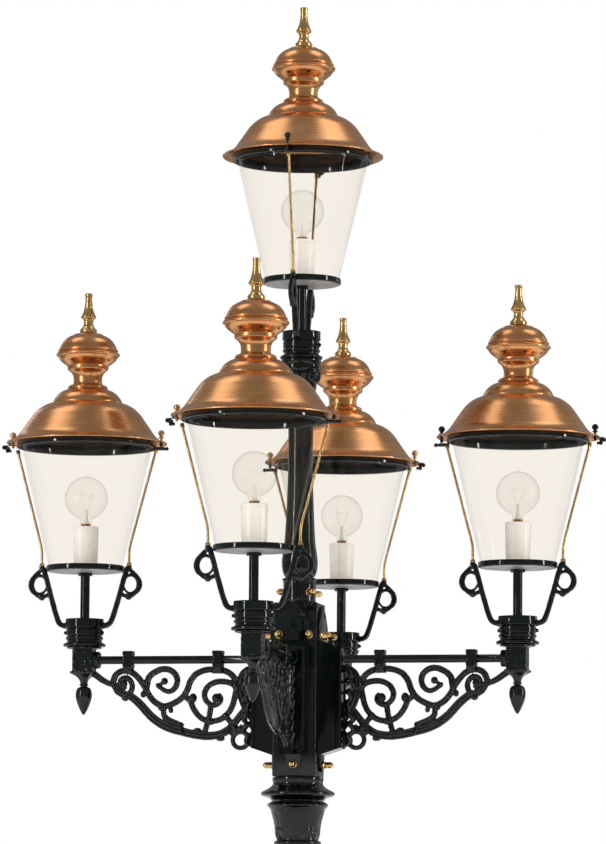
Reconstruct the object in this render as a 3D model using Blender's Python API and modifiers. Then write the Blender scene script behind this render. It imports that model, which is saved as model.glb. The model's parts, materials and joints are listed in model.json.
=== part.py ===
"""Head of a five-lantern cast-iron street lamp, in metres with +Z up.

The origin is the centre of the bottom face of the column's flange, which bolts onto a lamp post.
Four scroll brackets reach out along -X, +X, -Y and +Y, each with a lantern, and a fifth lantern
stands on the pole in the middle. A lantern's own frame has its origin on its axis, at the face
where its collar sits, with the hood's hinge at -X and the hood's thumb screw at +X.
"""

import math

import bmesh
import bpy
from mathutils import Matrix, Vector

# Driving dimensions.
ARM_REACH = 0.612
BAR_Z = 0.674
SIDE_SEAT_Z = 0.712
TOP_SEAT_Z = 1.511
BRIM_RADIUS = 0.225
GAP = 0.0004

# Heights in a lantern's own frame.
COLLAR_TOP = 0.077
TRAY_Z = 0.222
BRIM_Z = 0.570

# The hood's hinge and its thumb screw, in a lantern's own frame.
EAR_TOP = BRIM_Z - 0.005
EAR_THICKNESS = 0.008
EAR_WIDTH = 0.022
HINGE_RADIUS = 0.2385
HINGE_Z = BRIM_Z - 0.0075
PIN_RADIUS = 0.0025
KNOB_RADIUS = 0.214
KNOB_STEM = 0.0035

# Turned seats and bores.
TENON_RADIUS = 0.0375
TENON_HEIGHT = 0.050
COLLAR_BORE = 0.0395
STEM_RADIUS = 0.013
COLUMN_TUBE = 0.0445
COLUMN_BORE = 0.035
CASING_HALF = 0.061
CASING_BOTTOM = 0.348
CASING_TOP = 0.828
HOUSING_FACE = 0.1275
HOUSING_WIDTH = 0.076
BAR_RADIUS = 0.0113
BLOCK_HALF = 0.0285
BOSS_LENGTH = 0.017

# Sides of a turned shape, by its size.
WIDE_SIDES = 16
NARROW_SIDES = 12

SIDES_OF_HEAD = {
    "left": ((-ARM_REACH, 0.0, SIDE_SEAT_Z), 0.0),
    "right": ((ARM_REACH, 0.0, SIDE_SEAT_Z), 180.0),
    "front": ((0.0, -ARM_REACH, SIDE_SEAT_Z), 0.0),
    "back": ((0.0, ARM_REACH, SIDE_SEAT_Z), 180.0),
    "top": ((0.0, 0.0, TOP_SEAT_Z), -90.0),
}
BRACKET_YAW = {"left": 180.0, "right": 0.0, "front": -90.0, "back": 90.0}


# ---------------------------------------------------------------- scene and materials

def clear_scene():
    for obj in list(bpy.data.objects):
        bpy.data.objects.remove(obj, do_unlink=True)


def new_collection(name):
    collection = bpy.data.collections.new(name)
    bpy.context.scene.collection.children.link(collection)
    return collection


def new_material(name, colour, roughness, metallic, alpha=1.0):
    made = bpy.data.materials.new(name)
    made.use_nodes = True
    shader = made.node_tree.nodes["Principled BSDF"]
    shader.inputs["Base Color"].default_value = (*colour, 1.0)
    shader.inputs["Roughness"].default_value = roughness
    shader.inputs["Metallic"].default_value = metallic
    shader.inputs["Alpha"].default_value = alpha
    made.diffuse_color = (*colour, alpha)
    return made


# ---------------------------------------------------------------- shapes

def as_object(name, mesh):
    """A working object, in the scene only so that its modifiers evaluate."""
    obj = bpy.data.objects.new(name, mesh)
    bpy.context.scene.collection.objects.link(obj)
    return obj


def evaluated_mesh(obj):
    """The object's mesh with its modifiers, in world space, with loose caps welded."""
    bpy.context.view_layer.update()
    graph = bpy.context.evaluated_depsgraph_get()
    mesh = bpy.data.meshes.new_from_object(obj.evaluated_get(graph))
    mesh.transform(obj.matrix_world)
    working = bmesh.new()
    working.from_mesh(mesh)
    bmesh.ops.remove_doubles(working, verts=working.verts, dist=1e-6)
    working.to_mesh(mesh)
    working.free()
    return mesh


def settled(obj):
    """Replaces the object by one whose mesh has its modifiers applied."""
    name, mesh = obj.name, evaluated_mesh(obj)
    bpy.data.objects.remove(obj, do_unlink=True)
    return as_object(name, mesh)


def turned(name, profile, sides):
    """A solid of revolution about Z. The (radius, height) profile runs down its outer side.

    A profile that starts and ends on the axis is a solid. Any other one is closed into a ring.
    """
    points = [(radius, 0.0, height) for radius, height in profile]
    edges = [(i, i + 1) for i in range(len(points) - 1)]
    if profile[0][0] > 0:
        edges.append((len(points) - 1, 0))
    mesh = bpy.data.meshes.new(name)
    mesh.from_pydata(points, edges, [])
    obj = as_object(name, mesh)
    screw = obj.modifiers.new("Screw", "SCREW")
    screw.steps = screw.render_steps = sides
    screw.use_merge_vertices = True
    screw.merge_threshold = 0.00005
    return settled(obj)


def tube(name, points, radius, resolution=0):
    """A round bar along the points. Resolution 0 has four sides and each step adds two."""
    curve = bpy.data.curves.new(name, "CURVE")
    curve.dimensions = "3D"
    curve.bevel_depth = radius
    curve.bevel_resolution = resolution
    curve.use_fill_caps = True
    spline = curve.splines.new("POLY")
    spline.points.add(len(points) - 1)
    for slot, point in zip(spline.points, points):
        slot.co = (*point, 1.0)
    return settled(as_object(name, curve))


def primitive(name, make, matrix, **sizes):
    working = bmesh.new()
    make(working, matrix=matrix, **sizes)
    mesh = bpy.data.meshes.new(name)
    working.to_mesh(mesh)
    working.free()
    return as_object(name, mesh)


def box(name, low, high):
    low, high = Vector(low), Vector(high)
    matrix = Matrix.Translation((low + high) / 2) @ Matrix.Diagonal((*(high - low), 1.0))
    return primitive(name, bmesh.ops.create_cube, matrix, size=1.0)


def rod(name, centre, axis, radius, length, sides=NARROW_SIDES):
    turn = Vector(axis).to_track_quat("Z", "Y").to_matrix().to_4x4()
    return primitive(
        name, bmesh.ops.create_cone, Matrix.Translation(centre) @ turn,
        cap_ends=True, segments=sides, radius1=radius, radius2=radius, depth=length,
    )


def ball(name, centre, radius, rings=6, sides=8):
    return primitive(
        name, bmesh.ops.create_uvsphere, Matrix.Translation(centre),
        u_segments=sides, v_segments=rings, radius=radius,
    )


def loop(name, centre, radius, thickness):
    """A small ring that stands in the XZ plane."""
    bpy.ops.mesh.primitive_torus_add(
        location=centre, rotation=(math.pi / 2, 0.0, 0.0),
        major_radius=radius, minor_radius=thickness, major_segments=8, minor_segments=4,
    )
    obj = bpy.context.active_object
    obj.name = name
    return settled(obj)


def combined(base, others, operation="UNION"):
    """Base with the others joined to it or cut from it, by one exact Boolean each."""
    for other in others:
        boolean = base.modifiers.new("Boolean", "BOOLEAN")
        boolean.operation = operation
        boolean.solver = "EXACT"
        boolean.object = other
        base = settled(base)
        bpy.data.objects.remove(other, do_unlink=True)
    return base


def in_plane(points):
    """(reach, height) pairs as points of a bracket's own XZ plane."""
    return [Vector((reach, 0.0, height)) for reach, height in points]


def volute(centre, turns):
    """A scroll about the centre, through (angle in degrees, radius) pairs."""
    return in_plane(
        (centre[0] + radius * math.cos(math.radians(angle)),
         centre[1] + radius * math.sin(math.radians(angle)))
        for angle, radius in turns
    )


# ---------------------------------------------------------------- post

def column():
    """The top of the post: a bolt flange, a shaft, a flared bell and the tube inside the casing."""
    flange_radius, flange_height = 0.140, 0.022
    profile = [
        (COLUMN_TUBE, CASING_TOP - GAP), (COLUMN_TUBE, 0.284), (0.073, 0.281), (0.085, 0.270),
        (0.067, 0.247), (0.058, 0.205), (0.056, 0.060), (0.075, flange_height + 0.006),
        (flange_radius, flange_height), (flange_radius, 0.0), (COLUMN_BORE, 0.0),
        (COLUMN_BORE, CASING_TOP - GAP),
    ]
    body = turned("column", profile, WIDE_SIDES)
    across, bolt_hole = 0.110 * math.sqrt(0.5), 0.009
    holes = [
        rod("bolt_hole", (x, y, 0), (0, 0, 1), bolt_hole, 4 * flange_height, 8)
        for x in (-across, across) for y in (-across, across)
    ]
    return combined(body, holes, "DIFFERENCE")


def capital_ring():
    """The ring that the casing stands on, round the column's tube."""
    bore = COLUMN_TUBE + GAP
    return turned("capital_ring", [
        (bore, CASING_BOTTOM - GAP), (0.0705, CASING_BOTTOM - GAP), (0.0705, 0.324),
        (0.102, 0.303), (0.098, 0.296), (0.073, 0.286), (0.073, 0.281 + 2 * GAP),
        (bore, 0.284 + 2 * GAP),
    ], WIDE_SIDES)


def casing():
    """The square box that the four brackets bolt to."""
    body = box("casing", (-CASING_HALF, -CASING_HALF, CASING_BOTTOM),
               (CASING_HALF, CASING_HALF, CASING_TOP))
    middle, height = (CASING_BOTTOM + CASING_TOP) / 2, CASING_TOP - CASING_BOTTOM
    bore = rod("casing_bore", (0, 0, middle), (0, 0, 1), COLUMN_TUBE + GAP, 1.2 * height, WIDE_SIDES)
    return combined(body, [bore], "DIFFERENCE")


def pole():
    """The ornamental pole that carries the top lantern, with the tenon that its collar sits on."""
    bore = 0.024
    foot = CASING_TOP + GAP
    return turned("top_pole", [
        (bore, TOP_SEAT_Z + TENON_HEIGHT), (TENON_RADIUS, TOP_SEAT_Z + TENON_HEIGHT),
        (TENON_RADIUS, TOP_SEAT_Z), (0.054, TOP_SEAT_Z), (0.057, 1.478), (0.046, 1.440),
        (0.037, 1.390), (0.0375, 1.250), (0.043, 1.060), (0.055, 0.955), (0.050, 0.915),
        (0.040, 0.899), (0.048, 0.890), (0.048, 0.882), (0.0455, 0.878), (0.0455, foot),
        (bore, foot),
    ], WIDE_SIDES)


# ---------------------------------------------------------------- brackets

def scroll_strokes():
    """The scrollwork's strokes, as (name, points, thickness), from the bar's axis down."""
    upper = [(0.525, -0.0655), (0.521, -0.047), (0.4983, -0.0305), (0.4706, -0.0356),
             (0.4361, -0.0762), (0.420, -0.106), (0.3842, -0.1287), (0.345, -0.116),
             (0.314, -0.080), (0.2876, -0.0389), (0.2430, -0.0268), (0.196, -0.038), (0.1735, -0.080)]
    rib = [(0.5190, -0.0770), (0.508, -0.089), (0.4800, -0.099), (0.4432, -0.1304), (0.405, -0.169),
           (0.3500, -0.1945), (0.2600, -0.2117), (0.2012, -0.200), (0.1667, -0.1650), (0.1205, -0.120)]
    outer_ring = [(0.173, -0.074), (0.1845, -0.1202), (0.2055, -0.155), (0.2410, -0.1705),
                  (0.2800, -0.157), (0.3035, -0.115)]
    stem = [(ARM_REACH - BLOCK_HALF - GAP, -0.040), (0.5700, -0.0475), (0.5480, -0.061),
            (0.5165, -0.0715)]
    leaf = [(0.1245, -0.032), (0.1505, -0.036), (0.1605, -0.058), (0.1535, -0.100), (0.1395, -0.140)]
    return [
        ("upper_rail", in_plane(upper), 0.0088),
        ("lower_rib", in_plane(rib), 0.0092),
        ("outer_ring", in_plane(outer_ring), 0.0077),
        ("stem", in_plane(stem), 0.0083),
        ("leaf", in_plane(leaf), 0.0095),
        ("big_volute", volute((0.2335, -0.102), [
            (150, 0.062), (110, 0.043), (55, 0.034), (0, 0.030), (-60, 0.030), (-125, 0.027),
            (-190, 0.019)]), 0.0068),
        ("middle_volute", volute((0.3785, -0.063), [
            (-22, 0.054), (20, 0.046), (70, 0.038), (120, 0.037), (175, 0.037), (235, 0.031),
            (300, 0.023)]), 0.0071),
        ("small_volute", volute((0.4895, -0.066), [
            (-110, 0.033), (-150, 0.025), (-200, 0.020), (-250, 0.014)]), 0.0063),
        ("middle_strut", in_plane([(0.3815, -0.126), (0.3780, -0.152), (0.3600, -0.188)]), 0.0066),
        ("big_strut", in_plane([(0.2375, -0.129), (0.2430, -0.169), (0.2560, -0.211)]), 0.0073),
        ("corner_strut", in_plane([(0.1985, -0.150), (0.1845, -0.185)]), 0.0062),
        ("loop_link", in_plane([(0.1410, -0.226), (0.1245, -0.231)]), 0.0064),
    ]


def clip(reach):
    """A strap that hangs the scrollwork from the bar."""
    half_width, half_depth, foot, top = 0.016, 0.015, -0.038, 0.025
    return box("clip", (reach - half_width, -half_depth, foot), (reach + half_width, half_depth, top))


def housing():
    """The channel-shaped root of a bracket, which bolts against the casing."""
    inner = CASING_HALF + GAP
    outline = [(inner, 0.052), (HOUSING_FACE, 0.030), (HOUSING_FACE, -0.244), (inner, -0.265)]
    curve = bpy.data.curves.new("housing", "CURVE")
    curve.dimensions = "2D"
    curve.fill_mode = "BOTH"
    curve.extrude = HOUSING_WIDTH / 2
    spline = curve.splines.new("POLY")
    spline.points.add(len(outline) - 1)
    spline.use_cyclic_u = True
    for slot, (reach, height) in zip(spline.points, outline):
        slot.co = (reach, height, 0.0, 1.0)
    obj = as_object("housing", curve)
    obj.rotation_euler = (math.pi / 2, 0.0, 0.0)
    return settled(obj)


def scrollwork():
    """A bracket's casting: its root, its scrolls and its two straps, bored for the bar."""
    body = housing()
    strokes = [tube(name, points, thickness) for name, points, thickness in scroll_strokes()]
    rings = [loop("lower_loop", (0.1630, 0.0, -0.2230), 0.0215, 0.0079)]
    body = combined(body, [*strokes, *rings, clip(0.4845), clip(0.2285)])
    bore = rod("bar_bore", (0.356, 0, 0), (1, 0, 0), BAR_RADIUS + GAP, 0.448, 8)
    return combined(body, [bore], "DIFFERENCE")


def bar():
    start, end = HOUSING_FACE + GAP + 0.0005, ARM_REACH - BLOCK_HALF - BOSS_LENGTH - GAP
    return rod("bar", ((start + end) / 2, 0, 0), (1, 0, 0), BAR_RADIUS, end - start, 8)


def socket():
    """The square block at a bracket's end, with its boss for the bar and the lantern's tenon."""
    seat = SIDE_SEAT_Z - BAR_Z
    body = box("socket", (ARM_REACH - BLOCK_HALF, -BLOCK_HALF, -0.029),
               (ARM_REACH + BLOCK_HALF, BLOCK_HALF, seat - 0.004))
    tenon = turned("tenon", [
        (0.0, seat + TENON_HEIGHT), (TENON_RADIUS, seat + TENON_HEIGHT), (TENON_RADIUS, seat),
        (0.047, seat), (0.047, seat - 0.008), (0.0, seat - 0.008),
    ], NARROW_SIDES)
    tenon.location.x = ARM_REACH
    tenon = settled(tenon)
    boss = rod("boss", (ARM_REACH - BLOCK_HALF, 0, 0), (1, 0, 0), 0.0235, 2 * BOSS_LENGTH, NARROW_SIDES)
    return combined(body, [tenon, boss])


def drop_finial():
    """The acorn that hangs under a socket."""
    made = turned("drop_finial", [
        (0.0, -0.0294), (0.028, -0.0294), (0.028, -0.034), (0.020, -0.048), (0.010, -0.062),
        (0.0095, -0.072), (0.0215, -0.085), (0.0215, -0.110), (0.006, -0.150), (0.0, -0.153),
    ], 8)
    made.location.x = ARM_REACH
    return settled(made)


# ---------------------------------------------------------------- lantern

def hood():
    """The spun copper hood: brim, dome, cupola, neck and vent, one open shell with a hinge eye."""
    outer = [
        (0.000, 0.312), (0.030, 0.312), (0.056, 0.302), (0.0895, 0.2515), (0.0575, 0.217),
        (0.0405, 0.1834), (0.0545, 0.158), (0.098, 0.115), (0.112, 0.109), (0.142, 0.085),
        (0.190, 0.0227), (BRIM_RADIUS, 0.0005),
    ]
    inner = [
        (0.2235, -0.002), (0.187, 0.0195), (0.138, 0.082), (0.095, 0.107), (0.037, 0.160),
        (0.037, 0.187), (0.080, 0.250), (0.052, 0.297), (0.0, 0.307),
    ]
    body = turned("hood", [(radius, BRIM_Z + height) for radius, height in outer + inner], WIDE_SIDES)
    tab_half, tab_top = 0.006, BRIM_Z + 0.001
    tab = box("hinge_tab", (-HINGE_RADIUS, -tab_half, EAR_TOP + 0.0015), (-0.2200, tab_half, tab_top))
    eye = rod("hinge_eye", (-HINGE_RADIUS, 0, HINGE_Z), (0, 1, 0), 0.006, 2 * tab_half + 0.001, 8)
    body = combined(body, [tab, eye])
    bore = rod("hinge_bore", (-HINGE_RADIUS, 0, HINGE_Z), (0, 1, 0), PIN_RADIUS + 0.0006, 0.05, 8)
    screw_hole = rod("screw_hole", (KNOB_RADIUS, 0, BRIM_Z), (0, 0, 1), KNOB_STEM + 0.001, 0.06, 8)
    return combined(body, [bore, screw_hole], "DIFFERENCE")


def finial():
    """The turned brass finial on top of a hood."""
    return turned("finial", [(radius, BRIM_Z + height) for radius, height in [
        (0.0, 0.426), (0.0105, 0.426), (0.0100, 0.395), (0.0188, 0.363), (0.0100, 0.350),
        (0.0235, 0.320), (0.0235, 0.312 + GAP), (0.0, 0.312 + GAP),
    ]], 8)


def glass_ring():
    """The ring over the glass, with the hinge's lugs and pin, and an ear for the thumb screw."""
    half = EAR_WIDTH / 2
    body = turned("ring", [
        (0.1905, BRIM_Z + 0.004), (0.1965, BRIM_Z + 0.004), (0.1965, BRIM_Z - 0.013),
        (0.1905, BRIM_Z - 0.013),
    ], WIDE_SIDES)
    low = EAR_TOP - EAR_THICKNESS
    latch_ear = box("latch_ear", (0.1935, -half, low), (0.2300, half, EAR_TOP))
    hinge_ear = box("hinge_ear", (-0.2300, -half, low), (-0.1935, half, EAR_TOP))
    lugs = []
    for side in (-1, 1):
        middle = side * 0.0095
        lugs.append(box("lug_arm", (-HINGE_RADIUS, middle - 0.0025, low + 0.001),
                        (-0.2280, middle + 0.0025, HINGE_Z + 0.0015)))
        lugs.append(rod("lug", (-HINGE_RADIUS, middle, HINGE_Z), (0, 1, 0), 0.0064, 0.0054, 8))
    pin = rod("pin", (-HINGE_RADIUS, 0, HINGE_Z), (0, 1, 0), PIN_RADIUS, 0.0275, 6)
    body = combined(body, [latch_ear, hinge_ear, *lugs, pin])
    hole = rod("ear_hole", (KNOB_RADIUS, 0, EAR_TOP), (0, 0, 1), KNOB_STEM + 0.001, 0.03, 8)
    return combined(body, [hole], "DIFFERENCE")


def glass():
    """The conical glass, open at both ends."""
    wall = 0.004
    foot, top = TRAY_Z + GAP, BRIM_Z - 0.004
    return turned("glass", [
        (0.1885, top), (0.1055, foot), (0.1055 - wall, foot), (0.1885 - wall, top),
    ], WIDE_SIDES)


def tray():
    """The dish under the glass, with the conduit stem below it and the lampholder on it."""
    holder_top, holder_bore = TRAY_Z + 0.114, 0.0145
    stem_foot = COLLAR_TOP - 0.0145
    return turned("lamp_tray", [
        (0.0, TRAY_Z + 0.072), (holder_bore, TRAY_Z + 0.072), (holder_bore, holder_top),
        (0.036, holder_top), (0.030, TRAY_Z), (0.109, TRAY_Z), (0.109, TRAY_Z - 0.013),
        (STEM_RADIUS, TRAY_Z - 0.014), (STEM_RADIUS, stem_foot), (0.0, stem_foot),
    ], WIDE_SIDES)


def yoke():
    """The collar with its two arms, their eyes, and the brass rods that hold the ring up."""
    bore = STEM_RADIUS + 0.0007
    body = turned("yoke", [
        (bore, COLLAR_TOP), (0.0535, COLLAR_TOP), (0.0540, 0.014), (0.0595, GAP),
        (COLLAR_BORE, GAP),
        (COLLAR_BORE, TENON_HEIGHT + 0.001), (bore, TENON_HEIGHT + 0.001),
    ], NARROW_SIDES)
    arm = [(0.044, 0.055), (0.066, 0.057), (0.078, 0.070), (0.113, 0.190), (0.1255, 0.218)]
    stay = [(0.1255, 0.212), (0.1262, 0.272), (0.1970, BRIM_Z - 0.0148)]
    pieces = []
    for side in (-1, 1):
        pieces.append(tube("arm", in_plane((side * reach, height) for reach, height in arm), 0.0085))
        pieces.append(loop("eye", (side * 0.134, 0.0, 0.170), 0.0245, 0.0075))
        stay_path = in_plane((side * reach, height) for reach, height in stay)
        pieces.append(tube("stay", stay_path, 0.0040, 1))
    return combined(body, pieces)


def bulb():
    """The globe lamp with its screw cap."""
    centre, radius = TRAY_Z + 0.195, 0.0605
    globe = [
        (radius * math.sin(math.radians(angle)), centre + radius * math.cos(math.radians(angle)))
        for angle in range(0, 156, 26)
    ]
    cap = [(0.0125, TRAY_Z + 0.128), (0.0125, TRAY_Z + 0.080), (0.0, TRAY_Z + 0.078)]
    return turned("bulb", globe + cap, NARROW_SIDES)


def knob():
    """The ball-headed thumb screw that holds the hood down."""
    made = turned("hood_knob", [
        (0.0, 0.036), (0.0064, 0.0334), (0.0090, 0.027), (0.0064, 0.0206), (KNOB_STEM, 0.0158),
        (0.0075, 0.0155), (0.0075, 0.0128), (KNOB_STEM, 0.0126), (KNOB_STEM, -0.009), (0.0, -0.009),
    ], 6)
    made.location = (KNOB_RADIUS, 0, BRIM_Z)
    return settled(made)


# ---------------------------------------------------------------- assembly

def anchor(name, location, parent=None, yaw=0.0):
    """An empty that sub-parts are placed by."""
    empty = bpy.data.objects.new(name, None)
    bpy.context.scene.collection.objects.link(empty)
    empty.location = location
    empty.rotation_euler.z = math.radians(yaw)
    empty.parent = parent
    return empty


def mesh_about(made, origin=(0, 0, 0)):
    """A finished working object's mesh, measured from the origin that its copies will have."""
    mesh = made.data
    mesh.transform(Matrix.Translation(-Vector(origin)))
    mesh.shade_smooth()
    mesh.set_sharp_from_angle(angle=math.radians(35))
    bpy.data.objects.remove(made, do_unlink=True)
    return mesh


def place(name, mesh, material, parent, collection):
    if not mesh.materials:
        mesh.materials.append(material)
    obj = bpy.data.objects.new(name, mesh)
    obj.parent = parent
    collection.objects.link(obj)
    return obj


def main():
    clear_scene()
    head = new_collection("street_lamp_head")
    iron = new_material("green_black_iron", (0.012, 0.020, 0.018), 0.32, 0.0)
    copper = new_material("brushed_copper", (0.72, 0.36, 0.17), 0.30, 1.0)
    brass = new_material("polished_brass", (0.80, 0.58, 0.22), 0.20, 1.0)
    clear = new_material("clear_glass", (0.97, 0.94, 0.88), 0.03, 0.0, 0.3)
    lamp = new_material("lamp_glass", (0.93, 0.90, 0.84), 0.10, 0.0, 0.6)

    hinge = (-HINGE_RADIUS, 0.0, HINGE_Z)
    screw = (KNOB_RADIUS, 0.0, BRIM_Z)
    centre = {"column": column, "capital_ring": capital_ring, "casing": casing, "top_pole": pole}
    for name, make in centre.items():
        place(name, mesh_about(make()), iron, None, head)

    arms = {name: mesh_about(make()) for name, make in {
        "bracket": scrollwork, "bar": bar, "socket": socket, "drop_finial": drop_finial}.items()}
    for side, yaw in BRACKET_YAW.items():
        frame = anchor(f"bracket_frame_{side}", (0, 0, BAR_Z), yaw=yaw)
        for name, mesh in arms.items():
            place(f"{name}_{side}", mesh, iron, frame, head)

    fixed = {
        "glass_ring": (mesh_about(glass_ring()), iron),
        "glass": (mesh_about(glass()), clear),
        "lamp_tray": (mesh_about(tray()), iron),
        "yoke": (mesh_about(yoke()), iron),
        "bulb": (mesh_about(bulb()), lamp),
    }
    hinged = {
        "hood": (mesh_about(hood(), hinge), copper),
        "finial": (mesh_about(finial(), hinge), brass),
    }
    knob_mesh = mesh_about(knob(), screw)
    for side, (seat, yaw) in SIDES_OF_HEAD.items():
        lantern = anchor(f"lantern_frame_{side}", seat, yaw=yaw)
        for name, (mesh, material) in fixed.items():
            place(f"{name}_{side}", mesh, material, lantern, head)
        hinge_axis = anchor(f"hood_hinge_{side}", hinge, lantern)
        for name, (mesh, material) in hinged.items():
            place(f"{name}_{side}", mesh, material, hinge_axis, head)
        screw_axis = anchor(f"knob_axis_{side}", Vector(screw) - Vector(hinge), hinge_axis)
        place(f"hood_knob_{side}", knob_mesh, iron, screw_axis, head)


main()
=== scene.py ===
"""The looks of the five-lantern street lamp head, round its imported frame.

Lengths are in metres, but the points of a stroke or a flat path are in tenths of a millimetre.
"""

import json
import math

import bmesh
import bpy
from mathutils import Matrix, Vector, noise


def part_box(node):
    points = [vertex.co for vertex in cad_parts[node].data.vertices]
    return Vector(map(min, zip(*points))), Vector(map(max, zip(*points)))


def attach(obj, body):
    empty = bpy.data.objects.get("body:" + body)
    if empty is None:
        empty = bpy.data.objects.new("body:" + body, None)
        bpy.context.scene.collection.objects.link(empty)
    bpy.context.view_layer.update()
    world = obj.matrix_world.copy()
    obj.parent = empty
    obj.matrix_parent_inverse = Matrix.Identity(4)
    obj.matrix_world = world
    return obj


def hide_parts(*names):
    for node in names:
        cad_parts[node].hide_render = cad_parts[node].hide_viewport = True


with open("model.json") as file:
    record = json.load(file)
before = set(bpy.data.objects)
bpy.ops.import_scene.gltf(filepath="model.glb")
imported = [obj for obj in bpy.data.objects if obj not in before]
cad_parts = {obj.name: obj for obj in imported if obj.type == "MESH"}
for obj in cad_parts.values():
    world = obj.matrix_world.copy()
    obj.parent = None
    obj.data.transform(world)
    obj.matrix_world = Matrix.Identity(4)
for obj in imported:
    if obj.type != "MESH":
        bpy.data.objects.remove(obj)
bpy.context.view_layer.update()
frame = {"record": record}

SIDES = ("left", "right", "front", "back")
LANTERNS = (*SIDES, "top")
JOINTS = {joint["name"]: joint for joint in frame["record"]["behaviour"]["joints"]}
GAP = 0.0004  # between the CAD's neighbours
TENTHS = 10000  # of a millimetre, in a metre
HALF_TURNS = (Matrix.Diagonal((-1, -1, 1, 1)), Matrix.Identity(4))


# ------------------------ heights read from the frame

def height(node, end):
    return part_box(node)[end][2]


SEAT = height("yoke_left", 0) - GAP
TRAY = height("glass_left", 0) - GAP - SEAT
BRIM = height("glass_left", 1) + 0.004 - SEAT
BAR = (height("bar_left", 0) + height("bar_left", 1)) / 2
REACH = (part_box("glass_right")[0][0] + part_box("glass_right")[1][0]) / 2
CASING_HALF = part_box("casing")[1][0]
CASING_LOW, CASING_HIGH = height("casing", 0), height("casing", 1)
POLE_SEAT = height("yoke_top", 0) - GAP
BAR_START, BAR_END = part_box("bar_right")[0][0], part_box("bar_right")[1][0]
HOUSING_FACE = BAR_START - 0.0009
BAR_RADIUS = 0.0113
BLOCK_HALF = 0.0285

# In a lantern's own frame.
HINGE = Vector((-0.2385, 0.0, BRIM - 0.0075))
SCREW_RADIUS = 0.214
EAR_TOP = BRIM - 0.005
COLLAR_TOP = 0.077
STEM_RADIUS = 0.013
GLASS_TOP_RADIUS = 0.1845
GLASS_FOOT_RADIUS = 0.1045


# ------------------------ materials

def wiring(tree):
    """Two functions for a node tree: feed sets or links a node's inputs, and add makes a node."""
    def feed(node, inputs):
        for key, value in inputs.items():
            if isinstance(value, bpy.types.NodeSocket):
                tree.links.new(value, node.inputs[key])
            else:
                node.inputs[key].default_value = value

    def add(kind, inputs=None, out=0, **settings):
        node = tree.nodes.new(kind)
        for key, value in settings.items():
            setattr(node, key, value)
        feed(node, inputs or {})
        return node.outputs[out]

    return add, feed


def new_material(name):
    """A new material, its Principled shader, and the two functions that wire its nodes."""
    made = bpy.data.materials.new(name)
    made.use_nodes = True
    return (made, made.node_tree.nodes["Principled BSDF"], *wiring(made.node_tree))


def object_spot(add):
    return add("ShaderNodeTexCoord", out="Object")


def clouds(add, spot, scale, detail):
    return add("ShaderNodeTexNoise", {"Vector": spot, "Scale": scale, "Detail": detail}, "Fac")


def maths(add, operation, first, second):
    return add("ShaderNodeMath", {0: first, 1: second}, operation=operation)


def bumped(add, source, strength, distance, **below):
    return add("ShaderNodeBump", {"Height": source, "Strength": strength, "Distance": distance, **below})


def mapped(add, source, low, high, to_low, to_high):
    return add("ShaderNodeMapRange", {
        "Value": source, "From Min": low, "From Max": high, "To Min": to_low, "To Max": to_high})


def ramp(add, factor, stops):
    """A colour ramp through (place, colour) stops."""
    colour = add("ShaderNodeValToRGB", {"Fac": factor})
    elements = colour.node.color_ramp.elements
    while len(elements) < len(stops):
        elements.new(0.5)
    for element, (position, tone) in zip(elements, stops):
        element.position = position
        element.color = (*tone, 1.0)
    return colour


def turned_coordinates(add, around, along):
    """Coordinates that stretch a texture round the object's own Z axis, as a lathe's marks are."""
    def vector(operation, inputs, out="Vector"):
        return add("ShaderNodeVectorMath", inputs, out, operation=operation)

    spot = object_spot(add)
    flat = vector("MULTIPLY", {0: spot, 1: (1.0, 1.0, 0.0)})
    turn = vector("SCALE", {0: vector("NORMALIZE", {0: flat}), "Scale": around})
    z = add("ShaderNodeSeparateXYZ", {"Vector": spot}, "Z")
    marks = maths(add, "ADD", vector("LENGTH", {0: flat}, "Value"), z)
    lift = add("ShaderNodeCombineXYZ", {"Z": maths(add, "MULTIPLY", marks, along)})
    return vector("ADD", {0: turn, 1: lift})


def spun_metal(name, stops, roughness, anisotropy, scratch):
    """Metal turned or spun about the object's Z axis: fine rings, and slow changes of colour."""
    made, shader, add, feed = new_material(name)
    rings = clouds(add, turned_coordinates(add, 1.2, 1800.0), 1.0, 3.0)
    mixed = maths(add, "MULTIPLY", maths(add, "ADD", clouds(add, object_spot(add), 14.0, 5.0), rings), 0.5)
    feed(shader, {
        "Base Color": ramp(add, mixed, stops),
        "Metallic": 1.0,
        "Roughness": mapped(add, mixed, 0.3, 0.7, roughness * 0.8, roughness * 1.25),
        "Anisotropic": anisotropy,
        "Tangent": add("ShaderNodeTangent", direction_type="RADIAL", axis="Z"),
        "Normal": bumped(add, rings, scratch, 0.0006),
    })
    return made


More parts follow.
